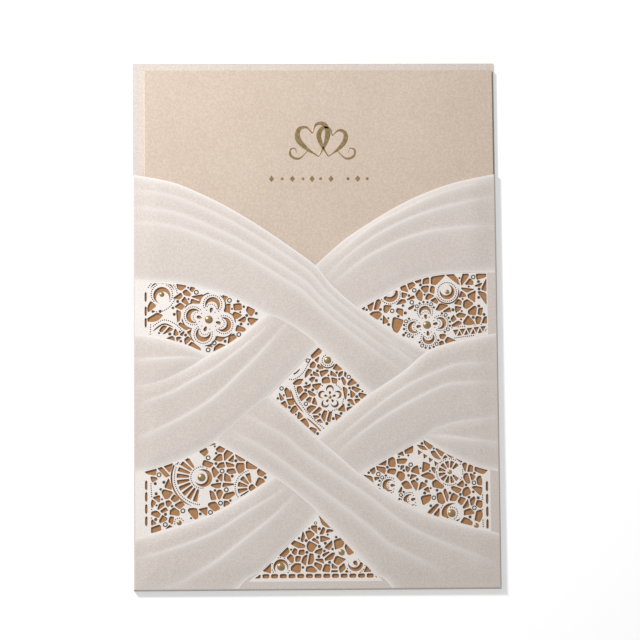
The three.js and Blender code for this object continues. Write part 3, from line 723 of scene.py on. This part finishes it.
drapes = [
    {   # from the mouth's left side down to the right
        "upper": seams["mouth_left"] + seams["below_notch"][1:] + seams["right_inner"][1:] + [(63.4, -12.2)],
        "lower": seams["left_top"] + seams["above_diamond"][1:] + seams["diamond_ne"][1:] + [(31, -28.2)],
        "shares": (0.14, 0.3, 0.44),
        "pleats": [[(25, -7), (30, -10.5), (34, -13.5)]],
        "start": 1, "end": tucked,
    },
    {   # from the mouth's right side down to the notch
        "upper": seams["mouth_right"], "lower": seams["right_top"], "shares": (),
        "pleats": [
            [(62, 50.6), (50, 47.7), (40, 44.3), (30, 39.5), (20, 34.2), (10, 26.5), (0, 18.6)],
            [(62, 44.6), (50, 42), (40, 39.3), (30, 35.4), (20, 29.9), (10, 22.5), (2.5, 15.5)],
            [(62, 34.6), (52, 33.7), (45, 33), (40, 32.3), (30, 29.2), (20, 24.3), (15, 21), (6.6, 14.7)],
        ],
        "start": 1, "end": tucked,
    },
    {   # below the left window
        "upper": [(-22, 7)] + seams["left_inner"] + seams["below_left"][1:],
        "lower": [(6, -5)] + seams["diamond_nw"] + seams["left_of_diamond"][1:] + seams["lower_left_top"][1:],
        "shares": (),
        "pleats": [
            [(-16, 0), (-20, -3.8), (-25, -8), (-30, -11.8), (-35, -15.4), (-45, -21), (-50, -23.8),
             (-60, -27.3)],
            [(-10.5, 0), (-15, -5.5), (-20, -11), (-25, -16), (-35, -25.3), (-45, -31.8), (-55, -36.8),
             (-61, -39)],
        ],
        "start": tucked, "end": 1,
    },
    {   # the short fold at the left edge
        "upper": seams["left_outer"], "lower": [(-59.1, -14.5), (-70.9, -18), (-86.6, -23), (-100, -25)],
        "shares": (0.45,), "pleats": [], "start": tucked, "end": 0.8,
    },
    {   # below the right window
        "upper": seams["right_outer"] + seams["right_of_diamond"][1:] + seams["diamond_se"][1:],
        "lower": seams["right_fold"] + seams["lower_right_inner"][1:], "shares": (),
        "pleats": [
            [(60, -14), (50, -14.5), (45, -16), (35, -20.3), (25, -26.4), (15, -34), (5, -42)],
            [(61, -20.6), (52, -21), (45, -21.8), (35, -26.4), (25, -32), (15, -38.8), (6.5, -45.5)],
        ],
        "start": 1, "end": tucked,
    },
    {   # the short fold at the right edge
        "upper": [(58.3, -41), (70.9, -37), (86.6, -35), (100, -34)], "lower": seams["lower_right_top"],
        "shares": (0.5,), "pleats": [], "start": tucked, "end": 0.8,
    },
    {   # from the left window's foot down to the lower right corner
        "upper": ([(-28, -23)] + seams["diamond_sw"] + seams["below_diamond"][1:]
                  + seams["lower_right_foot"][1:] + [(130, -86)]),
        "lower": ([(-58, -41)] + seams["lower_left_inner"] + seams["above_foot"][1:]
                  + seams["foot_right"][1:] + [(75, -135)]),
        "shares": (),
        "pleats": [
            [(-24, -32), (-15, -37), (-10, -40), (-5, -44.5), (4, -51), (13, -57), (20, -62), (30, -69.8),
             (40, -75), (60, -83)],
            [(-28, -38), (-16, -45), (-4, -54), (8, -63), (17, -70), (25, -77), (30, -79.5), (42, -86)],
        ],
        "start": tucked, "end": 1,
    },
    {   # across the lower left corner
        "upper": [(-20, -55)] + seams["lower_left_foot"] + [(-130, -88)],
        "lower": [(4, -69)] + seams["foot_left"] + [(-80, -135)], "shares": (),
        "pleats": [
            [(-11, -56), (-15, -60), (-25, -66), (-35, -72.3), (-45, -76.4), (-55, -79.5), (-62, -81)],
            [(-8, -60), (-15, -67), (-25, -74.8), (-35, -82.5), (-45, -88.3), (-52, -91)],
        ],
        "start": tucked, "end": 1,
    },
]


def smooth_step(value, low, high):
    """Runs from 0 to 1 as 3 s squared less 2 s cubed."""
    s = np.clip((value - low) / (high - low), 0, 1)
    return s * s * (3 - 2 * s)


def drape_surface(drape, stations=112, columns=84):
    """Points between the drape's two edges, on straight lines from one to the other, and their height: a
    quarter of a sine over the rolled edges, and for each pleat a crest that falls off at once on its upper
    side and slowly on its lower side. The painted highlight, a lighter tone where light catches the edges
    and crests, is 1 along them and fades as they do."""
    upper, lower = spline(on_page(drape["upper"]), stations), spline(on_page(drape["lower"]), stations)
    across = (1 - np.cos(np.linspace(0, np.pi, columns))) / 2
    across = 0.55 * across + 0.45 * np.linspace(0, 1, columns)
    span = (lower - upper)[:, None]
    place = upper[:, None] + span * across[:, None]
    width = np.linalg.norm(span, axis=2)
    to_edge = np.minimum(across, 1 - across) * width
    relief = edge_step + (crown_height - edge_step) * np.sin(np.pi / 2 * np.minimum(1, to_edge / roll_width))
    lines = [spline(points, 260) for points in drape["pleats"]]
    lines += [upper + (lower - upper) * share for share in drape["shares"]]
    crests = np.zeros_like(relief)
    painted_highlight = np.exp(-to_edge / painted_highlight_width)
    for line in lines:
        apart = np.linalg.norm(place[:, :, None] - line, axis=3)
        nearest = apart.argmin(axis=2)
        ahead = np.gradient(line, axis=0)
        offset = place - line[nearest]
        below = np.sign(ahead[nearest, 0] * offset[..., 1] - ahead[nearest, 1] * offset[..., 0])
        below *= np.sign(ahead[0, 0] * span[0, 0, 1] - ahead[0, 1] * span[0, 0, 0])
        reach = np.where(below > 0, slow_side, steep_side)
        ends = np.sin(np.pi * np.clip(nearest / (len(line) - 1), 0.02, 0.98)) ** 0.35
        crest = ends * np.exp(-((apart.min(axis=2) / reach) ** 1.4))
        crests = np.maximum(crests, pleat_rise * crest)
        painted_highlight = np.maximum(painted_highlight, crest_highlight * crest)
    length = np.linalg.norm(np.diff(upper + lower, axis=0), axis=1).sum() / 2
    along = np.linspace(0, length, stations)[:, None]
    held = 1 - (1 - drape["start"]) * smooth_step(-along, -tuck_length, 0)
    held *= 1 - (1 - drape["end"]) * smooth_step(along, length - tuck_length, length)
    to_fold = np.minimum(half_width - np.abs(place[..., 0]), half_height + place[..., 1])
    faded = smooth_step(to_fold, 0.2, fade_width)
    height = panel_top + above_sheet + faded * held * (relief + crests * np.minimum(1, to_edge / 1.2))
    return np.concatenate([place, height[..., None]], axis=2), painted_highlight


def grid_faces(rows, columns, start=0):
    """The quads of a grid of points, row after row."""
    corner = start + np.arange(rows - 1)[:, None] * columns + np.arange(columns - 1)
    return np.stack([corner, corner + 1, corner + columns + 1, corner + columns], axis=-1).reshape(-1, 4)


def closed_drape(surface, low):
    """The surface's triangles over a flat underside at one height, which runs straight from edge to edge,
    with the two long sides and the two ends closed."""
    rows, columns, _ = surface.shape
    edges = surface[:, [0, -1]]
    edges[..., 2] = low
    top = np.arange(rows * columns).reshape(rows, columns)
    under = top.size + np.arange(2 * rows).reshape(rows, 2)
    quads = [grid_faces(rows, columns), grid_faces(rows, 2, top.size)]
    for side in (0, -1):
        quads.append(np.stack([top[:-1, side], top[1:, side], under[1:, side], under[:-1, side]], axis=1))
    quads = np.vstack(quads)
    triangles = [quads[:, :3], quads[:, [0, 2, 3]]]
    for row in (0, -1):
        triangles.append(np.stack([top[row, :-1], top[row, 1:], np.full(columns - 1, under[row, 0])], axis=1))
        triangles.append([(top[row, -1], under[row, 1], under[row, 0])])
    return np.vstack([surface.reshape(-1, 3), edges.reshape(-1, 3)]), np.vstack(triangles)


def joined(shells):
    """All shells' points as one array, and their faces, numbered on from shell to shell."""
    starts = np.cumsum([0] + [len(points) for points, _ in shells[:-1]])
    faces = [np.asarray(faces) + start for start, (_, faces) in zip(starts, shells)]
    return np.vstack([points for points, _ in shells]), np.vstack(faces)


shells, shine = [], []
for drape in drapes:
    surface, painted_highlight = drape_surface(drape)
    shells.append(closed_drape(surface, panel_top - sunk_depth))
    shine += [painted_highlight.ravel(), painted_highlight[:, [0, -1]].ravel()]
embossed_drapes = as_mesh("embossed_drapes", *joined(shells), smooth=True)
# The painted highlight is kept on each point, for the paper's material to mix in its lighter tone
highlight_attribute = embossed_drapes.data.attributes.new("painted_highlight", "FLOAT", "POINT")
highlight_attribute.data.foreach_set("value", np.concatenate(shine).astype(np.float32))
# The drapes are cut off along the panel's sides and foot, and each cut is closed
shape = bmesh.new()
shape.from_mesh(embossed_drapes.data)
for x, y in ((-panel_side, 0), (panel_side, 0), (0, panel_foot)):
    everything = shape.verts[:] + shape.edges[:] + shape.faces[:]
    cut = bmesh.ops.bisect_plane(
        shape, geom=everything, dist=1e-7, plane_co=(x * mm, y * mm, 0), plane_no=(x, y, 0), clear_outer=True)
    cut_edges = [item for item in cut["geom_cut"] if isinstance(item, bmesh.types.BMEdge)]
    bmesh.ops.holes_fill(shape, edges=cut_edges, sides=0)
bmesh.ops.recalc_face_normals(shape, faces=shape.faces[:])
shape.to_mesh(embossed_drapes.data)
shape.free()
embossed_drapes.data.set_sharp_from_angle(angle=np.radians(45))
embossed_drapes.data.materials.append(pressed_ivory)
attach(embossed_drapes, "root")
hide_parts("pocket")


# Pocket back
# The rest of the same sheet: the back panel, the round folds at the foot and the sides, and the two
# narrow flaps, folded in from the sides and glued to the back panel.

flap_width = 12
flap_foot = 9
flap_shoulder = 7
glue_gap = 0.03
chamfer = 0.02


def run(section, place, start, stop):
    """A closed section carried straight from start to stop, with both ends closed by a fan of triangles
    round its middle. place turns its two coordinates and the way along into X, Y and Z."""
    section = np.asarray(section, float)
    count = len(section)
    ring = np.arange(count)
    after = np.roll(ring, -1)
    ends = [np.vstack([section, section.mean(axis=0)]) for _ in range(2)]
    points = np.vstack([place(end, at) for end, at in zip(ends, (start, stop))])
    middle, high = np.full(count, count), count + 1
    corners = ((ring, after, after + high), (ring, after + high, ring + high), (after, ring, middle),
               (ring + high, after + high, middle + high))
    return points, np.vstack([np.stack(three, axis=1) for three in corners])


def along_y(end, at):
    """A section drawn in X and Z, set at one place along Y."""
    return np.column_stack([end[:, 0], np.full(len(end), at), end[:, 1]])


def along_x(end, at):
    """A section drawn in Y and Z, set at one place along X."""
    return np.column_stack([np.full(len(end), at), end[:, 0], end[:, 1]])


def rounded_hook(side, high, low):
    """Half a fold seen from its end: round at its outer top corner, upright outside, one paper thick."""
    middle = (side - fold_radius, high - fold_radius)
    outer, inner = arc(middle, fold_radius, 90, 0, 9), arc(middle, fold_radius - paper, 0, 90, 9)
    return np.vstack([outer, [(side, low)], [(side - paper, low)], inner])


high_middle, low_middle = (-panel_foot, panel_top - fold_radius), (-panel_foot, fold_radius)
foot_fold = np.vstack([
    arc(high_middle, fold_radius, 90, 0, 9), arc(low_middle, fold_radius, 0, -90, 9),
    arc(low_middle, fold_radius - paper, -90, 0, 9), arc(high_middle, fold_radius - paper, 0, 90, 9),
]) * (-1, 1)
chamfered = half_width - chamfer
back_panel = [
    (-half_width, chamfer), (-chamfered, 0), (chamfered, 0), (half_width, chamfer),
    (half_width, paper - chamfer), (chamfered, paper), (-chamfered, paper), (-half_width, paper - chamfer)]
side_hook = rounded_hook(half_width, panel_top, paper + glue_gap)
hinge = half_width - paper / 2
flap_edge = half_width - flap_width
flap_head = side_head - paper
flap_low = -half_height + flap_foot
flap = np.array([
    (hinge, flap_low - flap_shoulder / 2), (flap_edge, flap_low + flap_shoulder / 2),
    (flap_edge, flap_head - flap_shoulder), (hinge, flap_head)])
shells = [
    run(back_panel, along_y, panel_foot, half_height),
    run(foot_fold, along_x, -half_width + 0.05, half_width - 0.05),
    run(side_hook, along_y, panel_foot, side_top),
    run(side_hook * (-1, 1), along_y, panel_foot, side_top),
]
for side in (1, -1):
    flap_points, flap_triangles = flat_triangles(flap * (side, 1), [])
    shells.append(plate(flap_points, flap_triangles, paper + glue_gap, 2 * paper)[:2])
pocket_back = as_mesh("pocket_back", *joined(shells))
solid = bmesh.new()
solid.from_mesh(pocket_back.data)
bmesh.ops.recalc_face_normals(solid, faces=solid.faces)
solid.to_mesh(pocket_back.data)
solid.free()
pocket_back.data.materials.append(pressed_ivory)
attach(pocket_back, "root")
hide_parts("pocket")


# Folded card
# A single card of champagne pearl paper, folded once at its left side and slipped into the pocket. Where
# its front leaf lies in the pocket behind the lace windows, its tone is painted darker and browner: painted
# shade with warm light bounced between the card and the lace.

# Painted shade: below these heights, inside the pocket, the card's tone turns darker and warmer
shade_top, shade_full = 0.0192, 0.0186

champagne = pearl_paper(
    "champagne_pearl_paper", (0.545, 0.44, 0.355), (0.65, 0.54, 0.45), 0.4, 0.1, 0.25, flake_size=0.6)
tree = champagne.node_tree
shader = tree.nodes["Principled BSDF"]
paper_tone = shader.inputs["Base Color"].links[0].from_socket
place = node(tree, "ShaderNodeTexCoord").outputs["Object"]
height_up = node(tree, "ShaderNodeSeparateXYZ", [(place, "Vector")]).outputs["Y"]
field = node(tree, "ShaderNodeMapRange", [(height_up, "Value")], From_Min=shade_top, From_Max=shade_full)
# A brown multiplied into the paper's tone: painted shade with warm bounce light
warm_shade = node(tree, "ShaderNodeMix", [(paper_tone, "A")],
           data_type="RGBA", blend_type="MULTIPLY", Factor=1.0, B=(0.68, 0.43, 0.235, 1))
shaded_tone = node(tree, "ShaderNodeMix", [
    (field.outputs["Result"], "Factor"), (paper_tone, "A"), (warm_shade.outputs["Result"], "B")], data_type="RGBA")
tree.links.new(shaded_tone.outputs["Result"], shader.inputs["Base Color"])
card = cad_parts["invitation_card"]
card.data.materials.clear()
card.data.materials.append(champagne)


# Foil
# Dark antique gold foil, blocked on with a heated die: the ornament and the row of marks on the card,
# and on the lace the dots, the rings with a bare middle and the domed studs at the hearts of the flowers.

card_face = 1.5
foil_rise = 0.03
dot_spread = 1.15
ring_spread, ring_bare = 1.1, 0.52
stud_rise, stud_sunk = 0.42, 0.01


def lathe(profile, steps):
    """A profile of radii and heights turned round the upright axis, as rows of points and their quads."""
    turn = ray(np.linspace(0, 360, steps, endpoint=False))
    heights = np.broadcast_to(profile[:, None, 1:], (len(profile), steps, 1))
    rows = np.concatenate([profile[:, None, :1] * turn[None], heights], axis=2)
    row = np.arange(len(profile) - 1)[:, None] * steps
    column = np.arange(steps)
    after = np.roll(column, -1)
    faces = np.stack([row + column, row + after, row + steps + after, row + steps + column], axis=-1)
    return rows.reshape(-1, 3), faces.reshape(-1, 4)


def dome(radius, rise, steps, rings):
    """A cap whose height is rise times a power of the cosine of the radius's share of a quarter turn."""
    share = np.linspace(1, 0.04, rings)
    return lathe(np.column_stack([radius * share, rise * np.cos(share * np.pi / 2) ** 0.7]), steps)


def flat_disc(radius, bare=0.03, steps=12):
    """A thin disc or ring: it rises in its outer tenth, is flat, and falls to its bare middle."""
    profile = [(1, 0), (0.9, foil_rise), (bare + 0.06, foil_rise), (bare, 0 if bare > 0.1 else foil_rise)]
    return lathe(np.array(profile) * (radius, 1), steps)


def stroke(points, widths, base):
    """A pen stroke: a ribbon along a curve, with its width at each sample, as a thin raised strip."""
    line = spline(points, len(widths))
    edge = normals(line) * np.asarray(widths)[:, None] / 2
    rows = np.stack([line + edge, line + 0.7 * edge, line - 0.7 * edge, line - edge], axis=1)
    lift = np.broadcast_to([0, foil_rise, foil_rise, 0], rows.shape[:2])
    points = np.concatenate([rows, (base + lift)[..., None]], axis=2).reshape(-1, 3)
    return points, grid_faces(len(line), 4)[:, ::-1]


def placed(shell, x, y, z):
    """A shell moved to a place."""
    return shell[0] + (x, y, z), shell[1]


shells = []
for window in windows:
    for x, y, radius in window.dots:
        shells.append(placed(flat_disc(dot_spread * radius), x, y, panel_top))
    for x, y, radius in window.rings:
        shells.append(placed(flat_disc(ring_spread * radius, ring_bare, 16), x, y, panel_top))
dull_faces = sum(len(faces) for _, faces in shells)
for window in windows:
    for x, y, radius in window.studs:
        shells.append(placed(dome(radius, stud_rise * radius, 24, 8), x, y, panel_top - stud_sunk))
stud_faces = sum(len(faces) for _, faces in shells)

# The ornament: two leaning hearts in thick and thin strokes, linked, with a flourish on each side
pen = np.linspace(0, 1, 60)
thick_thin = 0.42 + 1.45 * np.sin(np.pi * pen) ** 2
heart_left = [(0, -5.4), (-3.4, -1.6), (-5.2, 2.0), (-4.2, 5.0), (-1.6, 5.2), (-0.1, 2.8)]
heart_right = [(0, -5.4), (3.2, -1.8), (5.0, 1.8), (4.4, 4.8), (1.9, 5.3), (-0.1, 2.8)]
for middle, lean, size in (((0.2, 64.6), 14, 1.05), ((6.0, 64.0), -12, 0.92)):
    turn = np.column_stack([ray(lean), ray(lean + 90)])
    for half in (heart_left, heart_right):
        shape = np.asarray(half) * size @ turn.T + middle
        shells.append(stroke(shape, thick_thin * size, card_face))
flourish = np.array([(4.5, -1.5), (7.5, -4.2), (10.2, -3.4), (10.6, -1.2), (8.9, -0.6), (8.4, -2.1)])
thin = 0.3 + 0.6 * np.sin(np.pi * pen) ** 2
shells.append(stroke(flourish + (3.6, 62.6), thin, card_face))
shells.append(stroke(flourish * (-1, 1) + (2.2, 62.6), thin, card_face))

# The row of marks: lozenges and dots in turn, in a longer and a shorter group
for index, x in enumerate((-15, -11.3, -7.7, -4, -0.8, 2.2, 5.8, 11.8, 15.2, 18.5)):
    size, steps = ((0.95, 1.2), 4) if index % 2 == 0 else ((0.55, 0.55), 12)
    points, faces = lathe(np.array([(1, 0), (0.75, foil_rise), (0.02, foil_rise)]), steps)
    shells.append(placed((points * (*size, 1), faces), x, 51.2, card_face))

foil = as_mesh("foil", *joined(shells))
finish = np.zeros(len(foil.data.polygons), np.int32)
finish[:dull_faces] = 1
foil.data.polygons.foreach_set("material_index", finish)
round_faces = np.zeros(len(finish), bool)
round_faces[dull_faces:stud_faces] = True
foil.data.polygons.foreach_set("use_smooth", round_faces)


def foil_finish(name, dark, light, metal, glossy, dull):
    """Blocked foil: wear in its surface turns it from a dark and glossy tone to a light and dull one."""
    material, tree, shader = new_material(name)
    shader.inputs["Metallic"].default_value = metal
    place = node(tree, "ShaderNodeTexCoord").outputs["Object"]
    wear = node(tree, "ShaderNodeTexNoise", [(place, "Vector")], Scale=900.0, Detail=3.0).outputs["Fac"]
    tone = node(tree, "ShaderNodeMix", [(wear, "Factor")], data_type="RGBA", A=(*dark, 1), B=(*light, 1))
    tree.links.new(tone.outputs["Result"], shader.inputs["Base Color"])
    rough = node(tree, "ShaderNodeMapRange", [(wear, "Value")], To_Min=glossy, To_Max=dull)
    tree.links.new(rough.outputs["Result"], shader.inputs["Roughness"])
    relief = node(tree, "ShaderNodeBump", [(wear, "Height")], Strength=0.25, Distance=0.00003)
    tree.links.new(relief.outputs["Normal"], shader.inputs["Normal"])
    return material


for finish in (
        foil_finish("antique_gold_foil", (0.13, 0.085, 0.035), (0.38, 0.27, 0.14), 0.8, 0.28, 0.5),
        foil_finish("dull_bronze_foil", (0.03, 0.024, 0.015), (0.10, 0.08, 0.05), 0.4, 0.4, 0.6)):
    foil.data.materials.append(finish)
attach(foil, "root")


# Table, light and camera
# A white table that stays white to the camera and keeps the soft shadow, one broad window light from the
# upper left, and the camera where the photograph was taken from.

table_reach = 3000
table_top = -0.1

table_corners = [
    (-table_reach, -table_reach, table_top), (table_reach, -table_reach, table_top),
    (table_reach, table_reach, table_top), (-table_reach, table_reach, table_top)]
floor = as_mesh("table", table_corners, [(0, 1, 2, 3)])
white_table, tree, shader = new_material("white_table")
shader.inputs["Base Color"].default_value = (0.8, 0.8, 0.8, 1)
shader.inputs["Roughness"].default_value = 0.9


def seen_directly(tree):
    """1 for a ray from the camera, off a shiny face or through a clear one, and 0 for light that spreads."""
    path = node(tree, "ShaderNodeLightPath")
    seen = path.outputs["Is Camera Ray"]
    for label in ("Is Glossy Ray", "Is Transmission Ray"):
        either = node(tree, "ShaderNodeMath", [(seen, 0), (path.outputs[label], 1)], operation="MAXIMUM")
        seen = either.outputs[0]
    return seen


tree.links.new(seen_directly(tree), shader.inputs["Emission Color"])
shader.inputs["Emission Strength"].default_value = 0.37
floor.data.materials.append(white_table)


def soft_light(name, place, target, size, power):
    """A round lamp that faces a point: pitched by the angle of its beam from straight down, then turned."""
    lamp = bpy.data.lights.new(name, "AREA")
    lamp.shape, lamp.size, lamp.energy = "DISK", size, power
    light = bpy.data.objects.new(name, lamp)
    x, y, z = np.subtract(target, place)
    light.location = place
    light.rotation_euler = (np.arctan2(np.hypot(x, y), -z), 0, np.arctan2(y, x) - np.pi / 2)
    bpy.context.scene.collection.objects.link(light)


soft_light("window_light", (-0.37, 0.32, 0.34), (0, 0, 0), 0.12, 4.0)
world = bpy.data.worlds.new("pale_room")
world.use_nodes = True
bpy.context.scene.world = world
tree = world.node_tree
sky = tree.nodes["Background"]
seen = node(tree, "ShaderNodeMapRange", [(seen_directly(tree), "Value")], To_Min=0.38, To_Max=1.0)
tree.links.new(seen.outputs["Result"], sky.inputs["Strength"])
sky.inputs["Color"].default_value = (1, 1, 1, 1)

page_camera = bpy.data.cameras.new("page_camera")
page_camera.sensor_width = 36
page_camera.lens = 191.1
page_camera.clip_end = 20
camera = bpy.data.objects.new("page_camera", page_camera)
camera.location = (-0.0493, -0.1451, 1.1747)
camera.rotation_euler = np.radians((7.132, -2.413, -0.535))
bpy.context.scene.collection.objects.link(camera)
bpy.context.scene.camera = camera
bpy.context.scene.view_settings.view_transform = "Standard"
